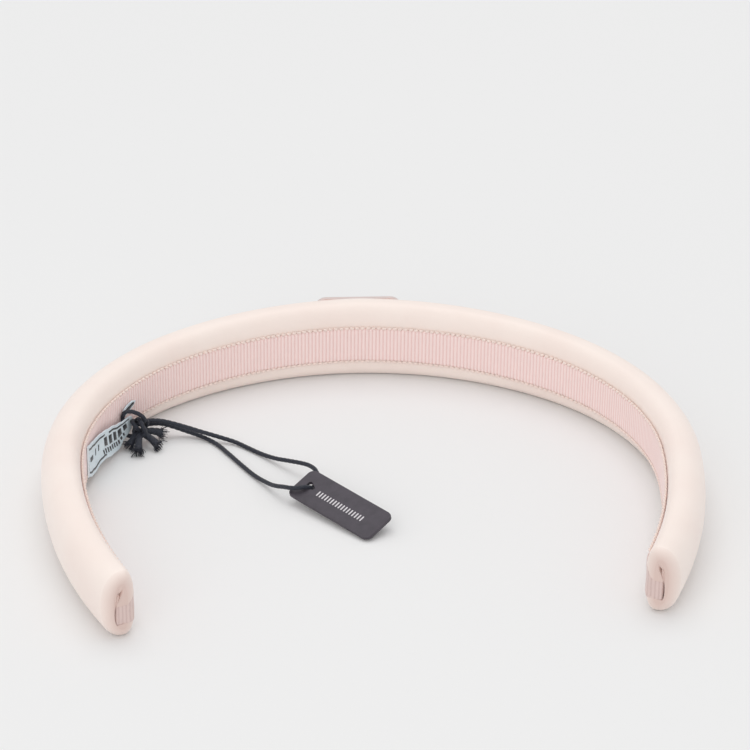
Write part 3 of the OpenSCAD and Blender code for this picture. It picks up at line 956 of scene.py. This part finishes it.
def tip_row(side, inset, back, f, slit_growth=0):
    """A row of the leather's end: f goes from its rounded edge, 0, to the slit, 1."""
    angles = [-TURNED_IN] + AROUND + [TURNED_IN]
    tip = TIP_RUN[side]
    closing = min(1, inset / TIP_ROUND)
    bare = {
        edge: mix(lining_z(side, tip) + edge * COVER_GAP / 2, SLIT_Z + edge * BARE_HALF, closing)
        for edge in (-1, 1)
    }
    row = []
    for angle in angles:
        n, z = section(side, tip, angle, inset)
        if abs(angle) == TURNED_IN:
            n, z = inset, bare[math.copysign(1, angle)]
        elif math.cos(angle) < 0:
            z = max(z, bare[1]) if angle > 0 else min(z, bare[-1])
        around = angle * LIP_SHARE
        slit_n = SLIT_N[side] + (SLIT_HALF_W + slit_growth) * math.cos(around)
        slit_z = SLIT_Z + (SLIT_HALF_H + slit_growth) * math.sin(around)
        depth = back + (tip_crease(angle, f) if 0 < f < CREASES_END else 0)
        row.append(hoop(side, tip - depth, mix(n, slit_n, f), mix(z, slit_z, f)))
    return row


EDGE_TURNS = (15, 30, 45, 60, 75, 90)
# Rows over the end: how far each is on its way to the slit, and how far back from the end face
FACE = [(0.06 * i, 0) for i in range(1, 16)]
LIPS = [(0.95, 0.1), (0.985, 0.35), (1, 0.8), (1, 1.4)]
# The leather's inside goes this share of the way, to a slit that is wider all round
INSIDE_SHARE, INSIDE_GROWTH = 0.85, 0.5


def tip_rows(side):
    """The leather's outer and inner rows over the end, each with its UV position."""
    thin = TIP_ROUND - COVER_T
    for degrees in EDGE_TURNS:
        c, s = math.cos(math.radians(degrees)), math.sin(math.radians(degrees))
        outside = tip_row(side, TIP_ROUND * (1 - c), TIP_ROUND * (1 - s), 0)
        inside = tip_row(side, TIP_ROUND - thin * c, TIP_ROUND - thin * s, 0)
        yield outside, inside, END_UV - EDGE_UV_LENGTH * (1 - degrees / 90)
    for f, back in FACE + LIPS:
        outside = tip_row(side, TIP_ROUND, back, f)
        inside = tip_row(side, TIP_ROUND, back + COVER_T, INSIDE_SHARE * f, INSIDE_GROWTH)
        yield outside, inside, END_UV + END_UV_LENGTH * f


def make_cover(side):
    """Leather round the pad, turned in under the lining, and gathered and tucked in at the tip."""
    rings, along = [], []
    for run in runs(TIP_RUN[side] - TIP_ROUND, COVER_STEP):
        outside = cover_row(side, run, 0, SEAT_N)
        inside = cover_row(side, run, COVER_T, SEAT_N - COVER_T)
        rings.append(outside + inside[::-1])
        along.append(run)
    for outside, inside, position in tip_rows(side):
        rings.append(outside + inside[::-1])
        along.append(position)
    name = f"cover_leather_{SIDE_NAME[side]}"
    cover = loft(name, rings, along, hard_edges=math.radians(65))
    dress_half(cover, side, LEATHER, "cover_leather", "cover")


# The foam lies this far inside its inset surface and under the plaque's seat, and is this uneven
PAD_SLACK, PAD_UNDER_SEAT, PAD_UNEVEN = 0.05, 0.95, 0.06
PAD_FACE_STEPS = 6


def make_pad(side):
    """Foam crescent under the leather."""
    rings, along = [], []
    for run in runs(TIP_RUN[side] - PAD_STOP, PAD_STEP):
        ring = []
        for angle in OUTER_TURNS:
            n, z = section(side, run, angle, PAD_INSET)
            swell = PAD_UNEVEN * noise.noise(Vector((0.7 * run, 3 * angle, side)))
            ring.append(hoop(side, run, n - PAD_SLACK + swell, z, SEAT_N - PAD_UNDER_SEAT))
        height = height_at(side, run)
        high = height - PAD_INSET - PAD_CORNER
        for i in range(PAD_FACE_STEPS + 1):
            z = mix(high, height - high, i / PAD_FACE_STEPS)
            ring.append(hoop(side, run, PAD_INSIDE, z))
        rings.append(ring)
        along.append(run)
    pad = loft(f"pad_foam_{SIDE_NAME[side]}", rings, along, hard_edges=math.radians(50))
    dress_half(pad, side, FOAM, "foam", "foam")


RIB_STEPS, RIB_RELIEF = 6, 0.16
RIBBON_ACROSS = (1, 0.97, 0.9, 0.78, 0.5, 0.2, -0.2, -0.5, -0.78, -0.9, -0.97, -1)
RIBBON_BACK = (-0.98, -0.4, 0.4, 0.98)
# How far before a tip the lining ends and its folded end takes over
RIBBON_STOP = 4.6
# The ribbon thins and its ribs stand out from this share of its half width
SELVEDGE_FROM, SELVEDGE_THINNING, SELVEDGE_RIBS = 0.86, 0.75, 0.1


def rib(run):
    """Height of the ribs, from 0 in a groove to 1 on a rib."""
    return abs(math.cos(math.pi * run / RIB_PITCH)) ** 0.7


def selvedge(v):
    """0 over the ribbon's face, rising to 1 at both edges."""
    return max(0, (abs(v) - SELVEDGE_FROM) / (1 - SELVEDGE_FROM))


def thinned(v):
    """Share of the ribbon's thickness that is left at a place across it."""
    return 1 - SELVEDGE_THINNING * selvedge(v) ** 2.5


def ribbon_ring(side, run):
    """The ribbon's section: ribbed face with rounded selvedges, and a flat back."""
    high, middle = rib(run), lining_z(side, run)
    ring = []
    for v in RIBBON_ACROSS:
        n = -(RIBBON_T - RIB_RELIEF * (1 - high)) * thinned(v)
        half = RIBBON_W / 2 + SELVEDGE_RIBS * high * selvedge(v)
        ring.append(hoop(side, run, n, middle + v * half))
    return ring + [hoop(side, run, -0.01, middle + v * RIBBON_W / 2) for v in RIBBON_BACK]


def make_ribbon(side):
    """Grosgrain ribbon with real ribs across it."""
    along = runs(TIP_RUN[side] - RIBBON_STOP, RIB_PITCH / RIB_STEPS)
    rings = [ribbon_ring(side, run) for run in along]
    ribbon = loft(f"ribbon_grosgrain_{SIDE_NAME[side]}", rings, along)
    dress_half(ribbon, side, GROSGRAIN, "lining_ribbon", "ribbon")


STITCH_PITCH = 1.3
STITCH_L, STITCH_W, STITCH_T = 1.15, 0.74, 0.58
# A stitch's distance beyond the ribbon's edge and above the inner face, its slant and its bow
STITCH_BESIDE, STITCH_OUT, STITCH_SLANT, STITCH_BOW = 0.22, 0.12, 0.07, 0.08
# Unevenness along the row and across it
STITCH_SHIFT, STITCH_LIFT = 0.06, 0.03
# Every stitch has rings along it, with sides round them, and sinks in by a little
STITCH_RINGS, STITCH_SIDES, STITCH_SINK = 7, 7, 0.06


def stitch_part(at, long, width, thick, slant, rise):
    """Rings of one stitch; at(along, out, up) gives its points, and slant leans it."""
    rings = []
    for k in range(STITCH_RINGS):
        t = -1 + 2 * k / (STITCH_RINGS - 1)
        girth = max(0.18, math.sqrt(1 - 0.92 * t * t))
        ring = []
        for i in range(STITCH_SIDES):
            a = math.tau * i / STITCH_SIDES
            out = rise * (1 - t * t) + thick / 2 * girth * (1 + math.cos(a)) - STITCH_SINK
            ring.append(at(t * long / 2, out, slant * t + width / 2 * girth * math.sin(a)))
        rings.append(ring)
    return rings, list(range(STITCH_RINGS))


def make_stitches(side):
    """Both rows of stitches beside the ribbon."""
    chance = random.Random(31 + side)
    count = int((TIP_RUN[side] - RIBBON_STOP) / STITCH_PITCH)
    parts = []
    for edge in (-1, 1):
        for k in range(count):
            middle = (k + 0.5) * STITCH_PITCH + chance.uniform(-STITCH_SHIFT, STITCH_SHIFT)
            lift = chance.uniform(-STITCH_LIFT, STITCH_LIFT)

            def at(d, out, up, middle=middle, edge=edge, lift=lift):
                run = max(0.01, middle + d)
                z = lining_z(side, run) + edge * (RIBBON_W / 2 + STITCH_BESIDE) + lift + up
                return hoop(side, run, -STITCH_OUT - out, z)

            slant = STITCH_SLANT * edge
            parts.append(stitch_part(at, STITCH_L, STITCH_W, STITCH_T, slant, STITCH_BOW))
    stitches = joined(f"edge_stitches_thread_{SIDE_NAME[side]}", parts)
    dress_half(stitches, side, STITCH_THREAD, "stitching", "edge_stitches")


# The ribbon's end: its thickness, how far it sinks in the leather, and its half width in the slit
TAB_T, TAB_SINK, TAB_HALF_W, TAB_STEP = 0.42, 0.05, 2.5, 0.15
# It narrows from this far along its path, over this length
TAB_NARROWS, TAB_NARROWING = 2.4, 3.4
TAB_RIBS, TAB_CREASE = 0.04, 0.16
# Its path: distances past the tip and outward positions before it turns over, the angles of that
# turn, and then distances past the tip and positions short of the slit
TAB_START = [(-5.2, -0.26), (-4.5, -0.26), (-3.8, -0.2), (-3.1, -0.06), (-2.5, 0.1)]
TAB_TURNS = (12, 28, 44, 60, 76, 90)
TAB_TUCK = ((-0.5, 0.32), (-0.9, 0.24), (-1.5, 0.22))


def tab_path(side):
    """Distances past the tip and outward positions of the ribbon's end, from above."""
    bow = TIP_ROUND - TAB_SINK - TAB_T / 2
    path = list(TAB_START)
    for degrees in TAB_TURNS:
        a = math.radians(degrees)
        path.append((bow * math.sin(a) - TIP_ROUND, TIP_ROUND - bow * math.cos(a)))
    slit = SLIT_N[side]
    face = bow - TIP_ROUND
    path += [(face, mix(TIP_ROUND, slit, t)) for t in (0.3, 0.6)]
    path.append((face - 0.05, slit - 0.55))
    return path + [(past, slit - short) for past, short in TAB_TUCK]


def tab_ring(side, ahead, p, d):
    """The end's section at a point of its path, d along it."""
    out = Vector((ahead.y, -ahead.x, 0))
    tucked = min(1, max(0, d - TAB_NARROWS) / TAB_NARROWING) ** 2
    half_w = mix(RIBBON_W / 2, TAB_HALF_W, tucked)
    middle = mix(lining_z(side, TIP_RUN[side]), SLIT_Z, tucked)
    front, back = [], []
    for v in RIBBON_ACROSS:
        rise = TAB_T / 2 * thinned(v)
        crease = noise.noise(Vector((0.6 * d, 2 * v, side)))
        relief = TAB_RIBS * (rib(d) - 0.5) + TAB_CREASE * crease
        for points, lift, z in ((front, rise + relief, v), (back, -rise, -v)):
            q = p + lift * out
            points.append(hoop(side, TIP_RUN[side] + q.x, q.y, middle + z * half_w))
    return front + back


def make_tab(side):
    """The ribbon's end, folded over the tip and tucked into the slit."""
    line = smooth_line([Vector((d, n, 0)) for d, n in tab_path(side)], TAB_STEP)
    along = distances(line)
    rings = []
    for i, (p, d) in enumerate(zip(line, along)):
        ahead = (line[min(i + 1, len(line) - 1)] - line[max(i - 1, 0)]).normalized()
        rings.append(tab_ring(side, ahead, p, d))
    name = SIDE_NAME[side]
    tab = loft(f"tip_tab_ribbon_{name}", rings, along, hard_edges=math.radians(60))
    dress(tab, SHADED_TIP_GROSGRAIN, "tip_ribbon", f"tip_tab_{name}")
    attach(tab, ARM_BODY[side])


for band_side in (RIGHT, LEFT):
    make_cover(band_side)
    make_pad(band_side)
    make_ribbon(band_side)
    make_stitches(band_side)
    make_tab(band_side)


# -------- the woven label
LABEL_T = 0.3
# Turns of the hoop at a strip's ends, how much it curls, and its shape as position along it,
# gap behind it, lower edge and upper edge: the label, and its cut end folded back behind it
LABEL = (
    55.5, 83, 0.2,
    (
        (0.07, 1.3, 5.2, 6.4), (0.08, 1.3, 4.4, 6.9), (0.1, 1.32, 3.8, 7.2), (0.14, 1.35, 3.2, 7.4),
        (0.22, 1.3, 2.6, 7.4), (0.31, 1.2, 1.1, 7.8), (0.45, 1.2, 1.5, 8.9), (0.6, 0.9, 2.3, 9.6),
        (0.68, 0.5, 2.1, 9.8), (0.76, 0.3, 1.6, 9.9), (0.88, 0.25, 2.2, 10.6), (1, 0.1, 3.4, 11.3),
    ),
)
FOLDED_END = (
    54.4, 59.2, 0,
    (
        (0, 0.25, 9.1, 9.3), (0.25, 0.25, 8.2, 9.7), (0.6, 0.2, 7.4, 9.5), (0.9, 0.15, 7, 9),
        (1, 0.1, 7.4, 8.5),
    ),
)
LABEL_ROWS, LABEL_COLUMNS = 60, 12
# The cut strip, and the share of it that is left once its end is rounded and narrowed
LABEL_CUT = (0.0104, (run_at(LABEL[1]) - run_at(LABEL[0])) * MM)


def strip_point(strip, t, v, lift):
    """A point of a woven strip: t along it, v up it, lift towards the head."""
    turn_from, turn_to, curl, shape = strip
    t = max(shape[0][0], min(1, t))
    for a, b in zip(shape, shape[1:]):
        if t <= b[0]:
            k = (t - a[0]) / (b[0] - a[0])
            gap, low, high = (mix(x, y, k * k * (3 - 2 * k)) for x, y in zip(a[1:], b[1:]))
            break
    n = -RIBBON_T - gap - curl * math.sin(math.pi * t) * (2 * v - 1) ** 2 - lift
    return hoop(LEFT, run_at(mix(turn_from, turn_to, t)), n, mix(low, high, v))


def make_strip(name, strip):
    """A woven strip, as thick as the label, with its rows closer together at its free end."""
    rings, along = [], []
    start = strip[3][0][0]
    ups = [k / LABEL_COLUMNS for k in range(LABEL_COLUMNS + 1)]
    for i in range(LABEL_ROWS + 1):
        t = mix(start, 1, (i / LABEL_ROWS) ** 1.5)
        front = [strip_point(strip, t, v, LABEL_T) for v in ups]
        back = [strip_point(strip, t, v, 0) for v in reversed(ups)]
        rings.append(front + back)
        along.append(t * (run_at(strip[1]) - run_at(strip[0])))
    woven = loft(name, rings, along, hard_edges=math.radians(50))
    dress(woven, LABEL_WEAVE, "label_weave")
    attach(woven, "left_arm")
    return woven


# Dark threads: start and end along a strip, lower and upper edge, as shares of its size
FOLDED_BORDER = (0.14, 0.9, 0.24, 0.76)
LABEL_BLOCKS = (
    (0.13, 0.5, 0.84, 0.91), (0.58, 0.96, 0.84, 0.9), (0.55, 0.96, 0.1, 0.16),
    (0.84, 0.93, 0.46, 0.6),
)
# Rows of even bars: their count, first start, pitch, width, lower and upper edges, and slant
BAR_ROWS = (
    (5, 0.16, 0.09, 0.055, 0.44, 0.76, 0.06),
    (2, 0.68, 0.07, 0.02, 0.5, 0.7, 0),
    (10, 0.2, 0.042, 0.022, 0.18, 0.36, 0.1),
)
PRINT_PROUD, PRINT_SUNK, PRINT_STEPS = 0.05, 0.1, 50


def strip_patch(strip, t0, t1, v0, v1, slant=0):
    """Rings of a raised patch of dark threads on a strip."""
    steps = max(2, math.ceil((t1 - t0) * PRINT_STEPS))
    ups = [v0, mix(v0, v1, 0.5), v1]
    path = [(v, LABEL_T + PRINT_PROUD) for v in ups]
    path += [(v, LABEL_T - PRINT_SUNK) for v in reversed(ups)]
    rings = []
    for i in range(steps + 1):
        t = mix(t0, t1, i / steps)
        rings.append([strip_point(strip, t + slant * (v - v0), v, lift) for v, lift in path])
    return rings, list(range(steps + 1))


def make_label_print():
    """Border lines, plain bars and a row of small slanted bars, woven in dark thread."""
    parts = [strip_patch(FOLDED_END, *FOLDED_BORDER)]
    parts += [strip_patch(LABEL, *block) for block in LABEL_BLOCKS]
    for count, first, pitch, width, low, high, slant in BAR_ROWS:
        for k in range(count):
            start = first + pitch * k
            parts.append(strip_patch(LABEL, start, start + width, low, high, slant))
    ink = joined("label_print", parts)
    dress(ink, LABEL_INK, "label_weave")
    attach(ink, "left_arm")
    return ink


# Rows of stitches: their strip, place along it and count, and the row's lower and upper ends
SEWN_ROWS = ((FOLDED_END, 0.95, 3, 0.2, 0.8), (LABEL, 0.975, 7, 0.06, 0.94))
SEWN_L, SEWN_W, SEWN_T, SEWN_SLANT, SEWN_BOW, SEWN_SINK = 0.9, 0.3, 0.22, 0.02, 0.05, 0.08
# A millimetre along the label and up it, as shares of its size
LABEL_MM_ALONG, LABEL_MM_UP = 0.03, 1 / 9


def make_label_stitches():
    """Short stitches across both sewn ends of the label."""
    parts = []
    for strip, end, count, low, high in SEWN_ROWS:
        for k in range(count):
            middle = mix(low, high, (k + 0.5) / count)

            def at(d, out, up, strip=strip, end=end, middle=middle):
                t, v = end + up * LABEL_MM_ALONG, middle + d * LABEL_MM_UP
                return strip_point(strip, t, v, LABEL_T + out - SEWN_SINK)

            parts.append(stitch_part(at, SEWN_L, SEWN_W, SEWN_T, SEWN_SLANT, SEWN_BOW))
    stitches = joined("label_stitches_thread", parts)
    dress(stitches, LABEL_THREAD, "label_thread", "label_stitches")
    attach(stitches, "left_arm")


woven_label = make_strip("label_woven", LABEL)
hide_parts("label")
folded_end = make_strip("label_folded_end", FOLDED_END)
label_print = make_label_print()
make_label_stitches()


# -------- CAD nodes that stay
def keep_node(name, material, ease=None):
    """A CAD node's material, with its edges eased by a width in mm."""
    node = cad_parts[name]
    node.data.materials.clear()
    node.data.materials.append(material)
    if ease:
        weld = node.modifiers.new("weld", "WELD")
        weld.merge_threshold = 1e-6
        soften = node.modifiers.new("ease", "BEVEL")
        soften.width = ease * MM
        soften.segments = 3
        soften.limit_method = "ANGLE"
        soften.angle_limit = math.radians(40)
        soften.harden_normals = True


for core in ("core_crown", "core_left", "core_right"):
    keep_node(core, CORE_PLASTIC)
keep_node("badge_base", BADGE_METAL, ease=0.22)
keep_node("badge_face", ENAMEL, ease=0.12)
keep_node("badge_clips", CLIP_STEEL)


# -------- floor and light
FLOOR_HALF = 4000


def make_floor():
    """A matt, nearly white surface under the band."""
    corners = ((-1, -1), (1, -1), (1, 1), (-1, 1))
    points = [(FLOOR_HALF * x, FLOOR_HALF * y, 0) for x, y in corners]
    floor = add_mesh("floor", points, [(0, 1, 2, 3)])
    look = Surface("floor", linear(240, 240, 240), 0.9, Specular_IOR_Level=0.1)
    cloud = look.noise(look.object_mm(), scale=0.002, detail=2.0)
    look.paint(cloud, (0.3, linear(239, 239, 239)), (0.7, linear(241, 241, 241)))
    floor.data.materials.append(look.material)
    floor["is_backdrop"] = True


def make_light(name, at, size, power):
    """A square light that faces the middle of the scene; places and sizes are in metres."""
    data = bpy.data.lights.new(name, "AREA")
    data.size = size
    data.energy = power
    light = bpy.data.objects.new(name, data)
    bpy.context.scene.collection.objects.link(light)
    light.location = at
    light.rotation_euler = (-Vector(at)).to_track_quat("-Z", "Y").to_euler()


def make_world(strength):
    world = bpy.data.worlds.new("studio")
    world.use_nodes = True
    background = world.node_tree.nodes["Background"]
    background.inputs["Color"].default_value = (1, 1, 1, 1)
    background.inputs["Strength"].default_value = strength
    bpy.context.scene.world = world


make_floor()
make_world(strength=0.72)
make_light("overhead", at=(0, 0.35, 1.3), size=1.1, power=4.4)
make_light("front", at=(-0.5, -1.2, 0.7), size=1.2, power=3.5)
bpy.context.scene.view_settings.view_transform = "Standard"

# -------- sizes, and the end
boxes = {"cad": CAD_BOX, "visual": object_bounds()}
{k: [list(corner) for corner in v] for k, v in boxes.items()}
